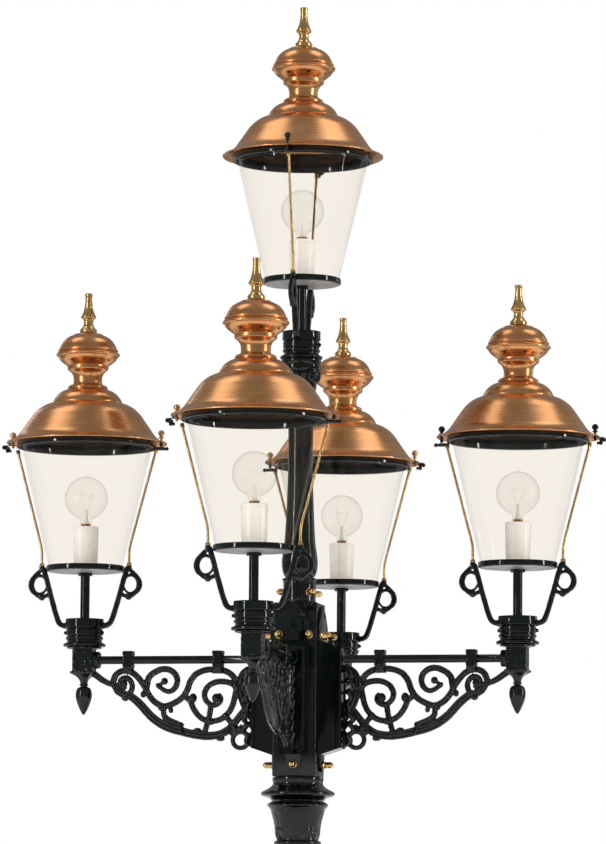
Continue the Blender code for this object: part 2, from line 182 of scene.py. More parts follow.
def iron_paint(name, roughness, lumps, wear_and_glint):
    """Thick gloss paint, almost black, over a sand casting, with bronze on its sharp edges: partly worn paint and
    partly painted highlight glints.
    """
    blacks = [
        (0.30, (0.0010, 0.0018, 0.0016)), (0.52, (0.0022, 0.0042, 0.0036)), (0.75, (0.0045, 0.0085, 0.0074))]
    bronze = (0.33, 0.25, 0.14, 1.0)
    made, shader, add, feed = new_material(name)
    spot = object_spot(add)
    broad, sand = clouds(add, spot, 9.0, 4.0), clouds(add, spot, 160.0, 4.0)
    # Sharp edges, broken up by the sand noise, take a metallic bronze: partly worn paint and partly painted
    # highlight glints along the edges.
    edge_wear_and_glint = mapped(add, add("ShaderNodeNewGeometry", out="Pointiness"), 0.515, 0.565, 0.0, 1.0)
    patchy = mapped(add, sand, 0.46, 0.62, 0.0, wear_and_glint)
    wear_and_glint_mask = add("ShaderNodeMath", {0: edge_wear_and_glint, 1: patchy}, operation="MULTIPLY", use_clamp=True)
    fine = bumped(add, sand, 0.35 * lumps, 0.0012)
    # A Mix node's colour sockets share their names with its other kinds, so they go by number.
    colour = add("ShaderNodeMix", {0: wear_and_glint_mask, 6: ramp(add, broad, blacks), 7: bronze}, 2, data_type="RGBA")
    feed(shader, {
        "Base Color": colour,
        "Metallic": mapped(add, wear_and_glint_mask, 0.0, 1.0, 0.0, 0.85),
        "Roughness": mapped(add, broad, 0.3, 0.7, roughness * 0.6, roughness * 1.4),
        "Specular IOR Level": 0.45,
        "Normal": bumped(add, broad, 0.6 * lumps, 0.006, Normal=fine),
    })
    return made


def thin_glass(name, tint, gloss, crackled):
    """Clear glass: what is behind shows through its tint, and it mirrors more at a slant."""
    made, shader, add, feed = new_material(name)
    made.node_tree.nodes.remove(shader)
    spot = object_spot(add)
    cells = add("ShaderNodeTexVoronoi", {"Vector": spot, "Scale": 95.0}, "Distance", feature="DISTANCE_TO_EDGE")
    depth = maths(add, "ADD", clouds(add, spot, 9.0, 2.0), mapped(add, cells, 0.0, 0.22, crackled, 0.0))
    paler, deeper = (tuple(1 - (1 - value) * share for value in tint) for share in (0.8, 2.6))
    tones = ramp(add, depth, [(0.3, paler), (0.7, tint), (1.0, deeper)])
    clear = add("ShaderNodeBsdfTransparent", {"Color": tones})
    mirror = add("ShaderNodeBsdfGlossy", {"Roughness": 0.05, "Normal": bumped(add, depth, 0.25, 0.002)})
    slant = maths(add, "POWER", add("ShaderNodeLayerWeight", {"Blend": 0.5}, "Facing"), 4.0)
    share = mapped(add, slant, 0.0, 1.0, 0.010, gloss)
    feed(made.node_tree.nodes["Material Output"], {
        "Surface": add("ShaderNodeMixShader", {0: share, 1: clear, 2: mirror})})
    return made


def enamel(name, stops, roughness, coat):
    """Porcelain or sheet with slow changes of tone."""
    made, shader, add, feed = new_material(name)
    cloud = clouds(add, object_spot(add), 30.0, 5.0)
    feed(shader, {
        "Base Color": ramp(add, cloud, stops),
        "Roughness": mapped(add, cloud, 0.3, 0.7, roughness * 0.8, roughness * 1.2),
        "Coat Weight": coat,
        "Normal": bumped(add, cloud, 0.15, 0.001),
    })
    return made


COPPER = spun_metal("brushed_copper", [
    (0.34, (0.66, 0.290, 0.110)), (0.50, (0.76, 0.365, 0.150)), (0.66, (0.86, 0.445, 0.205))], 0.25, 0.30, 0.06)
BRASS = spun_metal("polished_brass", [
    (0.34, (0.60, 0.360, 0.120)), (0.50, (0.76, 0.490, 0.190)), (0.66, (0.88, 0.620, 0.290))], 0.20, 0.2, 0.05)
SMOOTH_IRON = iron_paint("gloss_iron_paint", 0.07, 0.15, 0.0)
CAST_IRON = iron_paint("cast_iron_paint", 0.09, 0.6, 0.5)
CLEAR = thin_glass("lantern_glass", (0.981, 0.966, 0.944), 0.15, 0.0)
GLOBE = thin_glass("globe_glass", (0.990, 0.987, 0.982), 0.20, 0.35)
PORCELAIN = enamel("white_porcelain", [(0.35, (0.96, 0.94, 0.89)), (0.65, (0.99, 0.98, 0.95))], 0.28, 0.3)
# The dish's underside: a light grey that is partly its own tone and partly a painted reflection of the pale floor.
TRAY_GREY_AND_REFLECTION = enamel("tray_underside", [(0.35, (0.34, 0.34, 0.33)), (0.65, (0.50, 0.50, 0.49))], 0.35, 0.2)


# ------------------------ shapes

def turns(count):
    """The angles that part a circle."""
    return [math.tau * i / count for i in range(count)]


def scaled(points):
    """Points given in tenths of a millimetre, in metres."""
    return [tuple(value / TENTHS for value in point) for point in points]


def smooth(points, steps=5):
    """Points along a Catmull-Rom curve through the given ones, with steps to each stretch."""
    points = [Vector(point) for point in points]
    ends = [points[0], *points, points[-1]]
    path = []
    for before, start, end, after in zip(ends, ends[1:], ends[2:], ends[3:]):
        for step in range(steps):
            t = step / steps
            path.append(0.5 * (
                2 * start + (end - before) * t + (2 * before - 5 * start + 4 * end - after) * t**2
                + (3 * start - before - 3 * end + after) * t**3))
    return [*path, points[-1]]


def outline(*strokes, steps=5, base=0.0):
    """A turned profile in metres, made of smooth strokes that meet at corners and lifted by the base.

    A stroke is (radius, height) points in tenths of a millimetre. One step a stretch keeps it straight.
    """
    return [(radius, base + z) for stroke in strokes for radius, z in smooth(scaled(stroke), steps)]


def flat_path(points, steps=5, base=0.0):
    """A smooth path in the plane y = 0, through (reach, height) points in tenths of a millimetre."""
    return [Vector((reach, 0.0, base + z)) for reach, z in smooth(scaled(points), steps)]


def closed(working):
    """The mesh with its normals outwards."""
    bmesh.ops.recalc_face_normals(working, faces=working.faces)
    return working


def lathed(profile, segments=96):
    """A closed solid of revolution about Z, from (radius, height) points down its outer side.

    A profile that starts and ends on the axis is a solid. Any other one is closed into a ring.
    """
    working = bmesh.new()
    rings = []
    for radius, z in profile:
        if radius < 1e-6:
            rings.append([working.verts.new((0.0, 0.0, z))])
            continue
        if rings and len(rings[-1]) > 1 and (rings[-1][0].co - Vector((radius, 0.0, z))).length < 1e-7:
            continue
        rings.append([
            working.verts.new((radius * math.cos(turn), radius * math.sin(turn), z)) for turn in turns(segments)])
    pairs = list(zip(rings, rings[1:]))
    if len(rings[0]) > 1:
        pairs.append((rings[-1], rings[0]))
    for upper, lower in pairs:
        for i in range(segments):
            j = (i + 1) % segments
            corners = [upper[i % len(upper)], lower[i % len(lower)], lower[j % len(lower)], upper[j % len(upper)]]
            corners = list(dict.fromkeys(corners))
            if len(corners) > 2:
                working.faces.new(corners)
    return closed(working)


def turning(segments, *strokes, steps=5, base=0.0):
    return lathed(outline(*strokes, steps=steps, base=base), segments)


def stub(radius, half, edge, segments):
    """A short rod or nut about Z, centred on the origin, with edges taken off by (across, along)."""
    across, along = edge
    upper = [(0.0, half), (radius - across, half), (radius, half - along)]
    return lathed(upper + [(reach, -z) for reach, z in reversed(upper)], segments)


def pipe(radius, foot, top, edge, segments):
    """A plain bar up Z, with its ends' edges eased."""
    return lathed([
        *smooth([(0.0, top), (radius - edge, top), (radius, top - edge)], 2),
        *smooth([(radius, foot + edge), (radius - edge, foot), (0.0, foot)], 2)], segments)


def skinned(rings):
    """A closed solid through rings of as many points each, with a flat cap at each end."""
    working = bmesh.new()
    rings = [[working.verts.new(point) for point in ring] for ring in rings]
    for first, second in zip(rings, rings[1:]):
        for i in range(len(first)):
            j = (i + 1) % len(first)
            working.faces.new((first[i], first[j], second[j], second[i]))
    working.faces.new(list(reversed(rings[0])))
    working.faces.new(rings[-1])
    return closed(working)


# A bar's cross-sections, as (across, deep) shares of its half width and half depth.
ROUND = [(math.cos(turn), math.sin(turn)) for turn in turns(12)]
MOULDED = [(-1.0, 0.35), (-0.74, 0.85), (-0.38, 0.60), (0.0, 1.0), (0.38, 0.60), (0.74, 0.85), (1.0, 0.35)]
MOULDED += [(across, -deep) for across, deep in reversed(MOULDED)]
FLAT = [(-1.0, 0.55), (-0.7, 1.0), (0.7, 1.0), (1.0, 0.55), (1.0, -0.55), (0.7, -1.0), (-0.7, -1.0), (-1.0, -0.55)]


def swept(path, half_width, half_depth, section=ROUND, normal=(0.0, 1.0, 0.0)):
    """A closed bar along the path. Its depth lies along normal, and its width across both.

    half_width and half_depth are numbers, or functions of the place along the path from 0 to 1.
    """
    normal = Vector(normal)
    path = [Vector(point) for point in path]
    rings = []
    for i, point in enumerate(path):
        along = (path[min(i + 1, len(path) - 1)] - path[max(i - 1, 0)]).normalized()
        across = normal.cross(along).normalized()
        deep = along.cross(across)
        t = i / (len(path) - 1)
        wide, thick = (half(t) if callable(half) else half for half in (half_width, half_depth))
        rings.append([point + across * u * wide + deep * v * thick for u, v in section])
    return skinned(rings)


def bevelled(working, offset, segments=3):
    bmesh.ops.bevel(
        working, geom=list(working.edges), offset=offset, segments=segments, profile=0.5, affect="EDGES")
    return working


def block(low, high, bevel, segments=3):
    """A box with rounded edges."""
    low, high = Vector(low), Vector(high)
    working = bmesh.new()
    matrix = Matrix.Translation((low + high) / 2) @ Matrix.Diagonal((*(high - low), 1.0))
    bmesh.ops.create_cube(working, size=1.0, matrix=matrix)
    return bevelled(working, bevel, segments)


def slab(reach, half_long, half_wide, low, high, bevel):
    """A rounded box across a bracket's own plane, at a reach along its arm."""
    return block((reach - half_long, -half_wide, low), (reach + half_long, half_wide, high), bevel)


def orb(centre, radius, stretch=(1.0, 1.0, 1.0)):
    working = bmesh.new()
    matrix = Matrix.Translation(centre) @ Matrix.Diagonal((*stretch, 1.0))
    bmesh.ops.create_uvsphere(working, u_segments=24, v_segments=16, radius=radius, matrix=matrix)
    return working


def moved(working, matrix):
    bmesh.ops.transform(working, matrix=matrix, verts=working.verts)
    return working


def turned_to(axis, spot=(0.0, 0.0, 0.0)):
    """The matrix that turns +Z to the axis and moves the origin to the spot."""
    return Matrix.Translation(spot) @ Vector(axis).to_track_quat("Z", "Y").to_matrix().to_4x4()


def about_z(degrees):
    return Matrix.Rotation(math.radians(degrees), 4, "Z")


def both_ends(build):
    """What build makes at a lantern's +X end, and the same half a turn round at its -X end."""
    return [moved(part, turn) for turn in HALF_TURNS for part in build()]


def smoothed(mesh, sharp):
    """The mesh, shaded smooth but for edges sharper than the angle."""
    mesh.shade_smooth()
    mesh.set_sharp_from_angle(angle=math.radians(sharp))
    return mesh


def mesh_from(name, *parts, sharp=35):
    """One mesh of all the parts."""
    whole = bmesh.new()
    for part in parts:
        scratch = bpy.data.meshes.new("scratch")
        part.to_mesh(scratch)
        part.free()
        whole.from_mesh(scratch)
        bpy.data.meshes.remove(scratch)
    mesh = bpy.data.meshes.new(name)
    whole.to_mesh(mesh)
    whole.free()
    return smoothed(mesh, sharp)


def linked(name, data):
    """A new object of the data, in the scene."""
    made = bpy.data.objects.new(name, data)
    bpy.context.scene.collection.objects.link(made)
    return made


def evaluated(mesh, *modifiers):
    """The mesh with the modifiers applied, given as (type, settings)."""
    holder = linked("holder", mesh)
    for kind, settings in modifiers:
        modifier = holder.modifiers.new(kind, kind)
        for key, value in settings.items():
            setattr(modifier, key, value)
    bpy.context.view_layer.update()
    graph = bpy.context.evaluated_depsgraph_get()
    made = bpy.data.meshes.new_from_object(holder.evaluated_get(graph))
    bpy.data.objects.remove(holder, do_unlink=True)
    return made


def cast(name, *parts, voxel=0.0013, lumps=0.0005, pitch=70.0):
    """The parts run together into one casting, with soft corners and an uneven skin."""
    mesh = evaluated(
        mesh_from(name, *parts),
        ("REMESH", {"mode": "VOXEL", "voxel_size": voxel, "adaptivity": 0.0}),
        ("SMOOTH", {"factor": 0.5, "iterations": 3}),
    )
    # Moving a vertex makes every normal be worked out again, so the places are found first.
    spots = [vertex.co + vertex.normal * (lumps * noise.noise(vertex.co * pitch)) for vertex in mesh.vertices]
    mesh.vertices.foreach_set("co", [value for spot in spots for value in spot])
    mesh.update()
    mesh.name = name
    mesh.shade_smooth()
    return mesh


def cut(mesh, *cutters):
    """The mesh with the cutters taken out of it."""
    tool = linked("cutter", mesh_from("cutter", *cutters))
    made = evaluated(mesh, ("BOOLEAN", {"operation": "DIFFERENCE", "solver": "EXACT", "object": tool}))
    bpy.data.objects.remove(tool, do_unlink=True)
    return smoothed(made, 35)


def place(name, mesh, material, matrix, body, slot, *nodes):
    """A piece in its place, which rides on a body and stands for the CAD nodes given."""
    if not mesh.materials:
        mesh.materials.append(material)
    piece = linked(name, mesh)
    piece.matrix_world = matrix
    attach(piece, body)
    if nodes:
        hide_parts(*nodes)


def place_all(side, matrix, pieces):
    """Places a side's pieces: (name, mesh, material, slot, body or None for the root, CAD node or None)."""
    for name, mesh, material, slot, body, node in pieces:
        nodes = [f"{node}_{side}"] if node else []
        place(f"{name}_{side}", mesh, material, matrix, f"{body}_{side}" if body else "root", slot, *nodes)


# ------------------------ lantern

def hood_mesh():
    """The spun copper hood, with a rolled brim and eight vent holes under its top bulb."""
    outer = outline(
        [(0, 3118), (245, 3118)], [(250, 3116), (330, 3108), (400, 3092), (410, 3075)],
        [(440, 3062), (540, 3018), (660, 2932), (755, 2805), (812, 2675)],
        [(815, 2658), (843, 2638), (845, 2612), (825, 2592)],
        [(840, 2575), (885, 2542), (895, 2510), (880, 2478), (848, 2462)],
        [(842, 2450), (785, 2360), (680, 2268), (590, 2205)],
        [(575, 2198), (578, 2150), (566, 2092), (545, 2070)],
        [(530, 2062), (462, 2000), (418, 1910), (402, 1815), (406, 1722), (425, 1665)],
        [(435, 1658), (500, 1642), (548, 1608), (562, 1565), (552, 1536)],
        [(560, 1528), (700, 1476), (820, 1395), (912, 1290), (968, 1185), (982, 1136)],
        [(996, 1126), (1080, 1110), (1200, 1062), (1330, 982), (1430, 895), (1520, 795), (1618, 655),
         (1732, 490), (1838, 335), (1918, 225), (2010, 138), (2115, 70), (2225, 36)],
        [(2236, 34), (2250, 22), (2249, 4), (2234, -8), (2218, 0)], base=BRIM)
    inner = outline(
        [(2205, 22), (2105, 54), (1998, 122), (1904, 210), (1824, 321), (1718, 477), (1604, 642), (1506, 782),
         (1418, 879), (1320, 964), (1194, 1042), (1078, 1092), (972, 1108), (954, 1180), (898, 1282),
         (808, 1382), (692, 1460), (540, 1514), (400, 1650), (388, 1815), (404, 1920), (520, 2090),
         (560, 2210), (770, 2370), (825, 2465), (800, 2672), (740, 2800), (650, 2914), (530, 3000),
         (300, 3072), (0, 3090)], steps=2, base=BRIM)
    hole = turned_to((0.62, 0.0, -0.78), (0.0735, 0.0, BRIM + 0.2312))
    holes = [moved(stub(0.0040, 0.015, (0.0, 0.0), 20), about_z(22.5 + 45 * i) @ hole) for i in range(8)]
    return cut(mesh_from("hood", lathed(outer + inner, 128)), *holes)


def hood_eye_mesh():
    """The strap riveted to the brim, with the eye that turns on the ring's pin."""
    tab_half, radius, wall = 0.006, 0.0060, 0.0026
    strap = swept(
        flat_path([(-2060, -18), (-2200, -16), (-2320, -18), (-2385, -26)], 1, BRIM), 0.0011, tab_half, FLAT)
    half = tab_half + 0.0004
    eye = lathed([(radius, half), (radius, -half), (radius - wall, -half), (radius - wall, half)], 32)
    return mesh_from("hood_eye", strap, moved(eye, turned_to((0, 1, 0), HINGE)))


def finial_mesh():
    return mesh_from("finial", turning(
        64, [(0, 4258), (90, 4256), (106, 4244)], [(108, 4222), (104, 4186), (94, 4150)],
        [(94, 4120), (100, 4020), (113, 3900), (138, 3780), (182, 3655)],
        [(206, 3614), (217, 3586), (206, 3556)],
        [(166, 3532), (140, 3490), (132, 3442), (138, 3376), (157, 3318)],
        [(200, 3264), (230, 3236), (240, 3204), (234, 3165), (222, 3126), (0, 3126)], base=BRIM))


def ring_end(side):
    """The ear, its boss and its side screw at one end of a glass ring."""
    ear = swept(
        smooth([(side * x, 0.0, EAR_TOP - 0.0040) for x in (0.1945, 0.2080, 0.2290)]),
        0.0039, lambda t: 0.0150 - 0.0055 * t + 0.0010 * math.sin(t * math.pi), FLAT)
    boss = swept([(side * x, 0.0, BRIM - 0.0165) for x in (0.1930, 0.2200)], 0.0050, 0.0062)
    screw = turning(
        24, [(0, 160), (30, 153), (52, 125), (55, 100), (45, 68), (30, 55)],
        [(30, 40), (46, 35), (46, 0), (0, 0)])
    return ear, boss, moved(screw, turned_to((side, 0, 0), (side * 0.2195, 0.0, BRIM - 0.0170)))


def ring_mesh():
    """The cast ring that clamps the glass, with its inner collar, its two ears and the hinge lugs."""
    band = turning(
        128, [(1925, 40), (1958, 36), (1968, 20)], [(1968, -100), (1962, -122), (1945, -130)],
        [(1880, -130), (1872, -118), (1870, -45)],
        [(1740, -45), (1735, -120), (1725, -140), (1708, -140), (1700, -125)],
        [(1700, 285), (1706, 300), (1722, 300), (1728, 285)], [(1732, 10), (1760, 4), (1900, 6)],
        steps=3, base=BRIM)
    lugs, lug_half = [], 0.0024
    for across in (-0.0095, 0.0095):
        centre = (HINGE.x, across, HINGE.z)
        lugs.append(swept([(-0.2262, across, EAR_TOP - 0.0040), centre], 0.0040, lug_half, FLAT))
        lugs.append(moved(stub(0.0062, lug_half, (0.0004, 0.0005), 32), turned_to((0, 1, 0), centre)))
    pin = moved(stub(0.0025, 0.0138, (0.0005, 0.0005), 24), turned_to((0, 1, 0), HINGE))
    hole = swept([(SCREW_RADIUS, 0.0, BRIM), (SCREW_RADIUS, 0.0, BRIM - 0.0105)], 0.0044, 0.0044)
    ends = [part for side in (-1, 1) for part in ring_end(side)]
    return cut(mesh_from("glass_ring", band, *ends, *lugs, pin), hole)


def glass_mesh():
    wall, edge, foot, top = 0.0032, 0.001, TRAY + 0.0006, BRIM - 0.0055
    return mesh_from("glass", lathed([
        (GLASS_TOP_RADIUS - edge, top), (GLASS_TOP_RADIUS, top - edge),
        (GLASS_FOOT_RADIUS, foot + edge), (GLASS_FOOT_RADIUS - edge, foot),
        (GLASS_FOOT_RADIUS + edge - wall, foot), (GLASS_FOOT_RADIUS - wall, foot + edge),
        (GLASS_TOP_RADIUS - wall, top - edge), (GLASS_TOP_RADIUS + edge - wall, top)], 128))


def tray_mesh():
    """The dish under the glass, with a rolled rim."""
    return mesh_from("tray", turning(
        96, [(0, -4), (1005, -4)],
        [(1058, 0), (1062, 30), (1075, 42), (1088, 32), (1092, 5), (1092, -80), (1086, -104), (1068, -114)],
        [(1050, -114), (900, -128), (500, -142), (0, -146)], steps=4, base=TRAY))


def tray_floor_mesh():
    """A pale grey sheet under the dish, inside its black rim: its grey is partly the underside's own tone and
    partly a painted reflection of the pale floor.
    """
    return mesh_from("tray_floor", turning(
        96, [(155, -147), (500, -143), (900, -129), (1035, -118)],
        [(1040, -124), (900, -136), (500, -150), (155, -154)], steps=4, base=TRAY))


def stem_mesh():
    """The conduit that carries the tray, with the locknut at its top."""
    top = TRAY - 0.0150
    return mesh_from(
        "stem", pipe(STEM_RADIUS, COLLAR_TOP - 0.0145, top, 0.0006, 48), pipe(0.0205, top - 0.009, top, 0.001, 6))


def holder_mesh():
    """The porcelain lampholder, with its base flange, its lid and its open mouth."""
    return mesh_from("lampholder", turning(
        64, [(145, 740), (145, 1120), (160, 1140)],
        [(330, 1140), (352, 1128), (360, 1105), (360, 1055), (352, 1040)], [(344, 1034), (346, 1028)],
        [(352, 1020), (346, 640), (335, 150)], [(330, 130), (345, 110), (365, 85), (368, 30), (360, 2)],
        [(0, 2), (0, 740)], steps=4, base=TRAY))


def globe_mesh():
    """The blown globe: a thin wall with a short neck, open inside its cap."""
    centre, radius, wall = TRAY + 0.195, 0.0605, 0.0012

    def ball(reach, angles):
        return [(reach * math.sin(turn), centre + reach * math.cos(turn)) for turn in map(math.radians, angles)]

    neck = outline([(235, -560), (190, -600), (165, -660), (158, -740)], steps=4, base=centre)
    inner_neck = [(reach - wall, z) for reach, z in reversed(neck)]
    outer, inner = ball(radius, range(0, 156, 5)), ball(radius - wall, range(150, -1, -5))
    return mesh_from("globe", lathed(outer + neck + inner_neck + inner, 64))


def lamp_cap_mesh():
    """The lamp's threaded brass cap, in the holder's mouth."""
    top, foot, pitch = TRAY + 0.1215, TRAY + 0.080, 0.0036
    thread = []
    for i in range(int((top - foot) / pitch)):
        z = top - 0.0020 - i * pitch
        thread += [(0.0128, z), (0.0134, z - pitch * 0.25), (0.0128, z - pitch * 0.5), (0.0122, z - pitch * 0.75)]
    return mesh_from("lamp_cap", lathed(
        [(0.0, top), (0.0145, top), (0.0150, top - 0.001), *thread, (0.0090, foot), (0.0, foot - 0.001)], 48))


def filament_mesh():
    """The stem and the wires inside a globe."""
    foot, rise, reach, wire = TRAY + 0.118, 0.087, 0.017, 0.0005
    pinch = turning(
        24, [(0, 450), (35, 440), (50, 200), (110, 40)], [(110, 36), (0, 36)], steps=4, base=foot)
    legs = both_ends(lambda: [swept(flat_path([(30, 400), (80, 600), (170, 870)], base=foot), wire, wire)])
    loop = [(reach * math.cos(a), reach * math.sin(a), foot + rise + 0.004 * math.sin(3 * a))
            for a in (math.pi * i / 24 for i in range(25))]
    return mesh_from("filament", pinch, *legs, swept(loop, wire, wire, normal=(0.0, 0.0, 1.0)))


def yoke_end():
    """One flat arm, with its oval eye, its curls and its rod seat."""
    curl = (0.0055, 0.0062, FLAT)
    eye = [Vector((0.1330 + 0.0225 * math.cos(turn), 0.0, 0.1740 + 0.0262 * math.sin(turn)))
           for turn in (math.tau * i / 36 for i in range(37))]
    arm = flat_path([(440, 585), (600, 590), (705, 640), (770, 740), (860, 1000), (1000, 1480), (1130, 1960),
                     (1215, 2220)])
    return [
        swept(arm, lambda t: 0.0076 - 0.0008 * t, lambda t: 0.0100 - 0.0025 * t, FLAT),
        swept(eye, lambda t: 0.0052 + 0.0030 * math.cos(math.tau * t), 0.0062, FLAT),
        swept(flat_path([(1215, 2180), (1330, 2110), (1480, 1970)]), *curl),
        swept(flat_path([(1440, 1500), (1340, 1420), (1220, 1400), (1080, 1450)]), *curl),
        orb((0.1250, 0.0, 0.1390), 0.0092),
        swept(flat_path([(1255, 2130), (1255, 2270)], 1), 0.0078, 0.0078),
        orb((0.0530, 0.0, 0.0590), 0.0098),
    ]


def collar_mesh():
    """The grooved collar on the tenon, with its foot flange and its round set screws."""
    body = lathed(outline(
        [(137, 770), (505, 770), (525, 764), (533, 745)], [(533, 545), (526, 526), (500, 518)],
        [(484, 510), (484, 492), (500, 484)], [(512, 476), (516, 440), (512, 330), (500, 312)],
        [(478, 304), (478, 284)], [(500, 276), (520, 255), (520, 210), (500, 186)],
        [(484, 176), (488, 140), (505, 115)], [(530, 98), (575, 80), (592, 52), (588, 12), (575, 4)],
        [(390, 4), (390, 510)], [(137, 510), (137, 770)], steps=4)[:-1], 96)
    seat = turned_to((1, 0, 0), (0.0490, 0.0, 0.0385))
    screws = [
        moved(turning(20, [(0, 92), (28, 87), (46, 70), (50, 45)], [(50, 0), (0, 0)]), about_z(angle) @ seat)
        for angle in (-172, -8, 82)]
    return mesh_from("collar", body, *screws)


def stay_end():
    """One brass rod from the yoke up to the ring, with a nut at each end."""
    low, high = (0.1300, 0.0, 0.2900), (0.1968, 0.0, BRIM - 0.0290)
    path = flat_path([(1255, 2250), (1255, 2500)], 1) + flat_path([(1256, 2640), (1270, 2760), (1300, 2900)])
    lean = (Vector(high) - Vector(low)).normalized()
    return [
        swept([*path, high, (0.2000, 0.0, BRIM - 0.0150)], 0.0036, 0.0036),
        moved(stub(0.0060, 0.0060, (0.0008, 0.0010), 6), turned_to(lean, (0.1986, 0.0, BRIM - 0.0215))),
        moved(stub(0.0070, 0.0040, (0.0008, 0.0010), 6), Matrix.Translation((0.1255, 0.0, 0.2305))),
    ]


def knob_mesh():
    """The ball-headed screw that goes down through the brim."""
    return mesh_from("knob", turning(
        32, [(0, 360), (34, 353), (66, 330), (88, 292), (90, 262), (76, 222), (48, 200)],
        [(44, 194), (42, 182), (52, 170)], [(66, 162), (76, 148), (78, 132)],
        [(35, 130), (35, -84), (28, -90), (0, -90)], steps=4, base=BRIM))


def lantern_matrix(side):
    """A lantern's own frame: the origin where its collar sits, and its hinge at -X."""
    low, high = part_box(f"glass_{side}")
    centre = Vector(((low[0] + high[0]) / 2, (low[1] + high[1]) / 2, height(f"yoke_{side}", 0) - GAP))
    away = centre - Vector(JOINTS[f"hood_open_{side}"]["pos_m"])
    return Matrix.Translation(centre) @ Matrix.Rotation(math.atan2(away.y, away.x), 4, "Z")


def build_lanterns():
    yoke = cast("yoke_arms", *both_ends(yoke_end), voxel=0.0014)
    pieces = (
        ("ring", ring_mesh(), SMOOTH_IRON, "painted_iron", None, "glass_ring"),
        ("cone_glass", glass_mesh(), CLEAR, "clear_glass", None, "glass"),
        ("tray", tray_mesh(), SMOOTH_IRON, "painted_iron", None, "lamp_tray"),
        ("tray_floor", tray_floor_mesh(), TRAY_GREY_AND_REFLECTION, "painted_iron", None, None),
        ("stem", stem_mesh(), SMOOTH_IRON, "painted_iron", None, None),
        ("lampholder", holder_mesh(), PORCELAIN, "porcelain", None, None),
        ("collar", collar_mesh(), SMOOTH_IRON, "painted_iron", None, "yoke"),
        ("yoke_arms", yoke, CAST_IRON, "painted_iron", None, None),
        ("stays", mesh_from("stays", *both_ends(stay_end)), BRASS, "brass", None, None),
        ("copper_hood", hood_mesh(), COPPER, "copper", "hood_assembly", "hood"),
        ("hood_eye", hood_eye_mesh(), SMOOTH_IRON, "painted_iron", "hood_assembly", None),
        ("brass_finial", finial_mesh(), BRASS, "brass", "hood_assembly", "finial"),
        ("globe", globe_mesh(), GLOBE, "lamp_glass", "lamp", "bulb"),
        ("lamp_cap", lamp_cap_mesh(), BRASS, "brass", "lamp", None),
        ("filament", filament_mesh(), PORCELAIN, "brass", "lamp", None),
    )
    dark, bright = (knob_mesh(), SMOOTH_IRON, "painted_iron"), (knob_mesh(), BRASS, "brass")
    for side in LANTERNS:
        seat = lantern_matrix(side)
        place_all(side, seat, pieces)
        knob = dark if side in ("top", "right") else bright
        for name, reach, body, node in (
                ("thumb_screw_ball", SCREW_RADIUS, "thumb_screw", "hood_knob"),
                ("hinge_screw_ball", -SCREW_RADIUS, "hood_assembly", None)):
            place_all(side, seat @ Matrix.Translation((reach, 0.0, 0.0)), [(name, *knob, body, node)])


# ------------------------ brackets

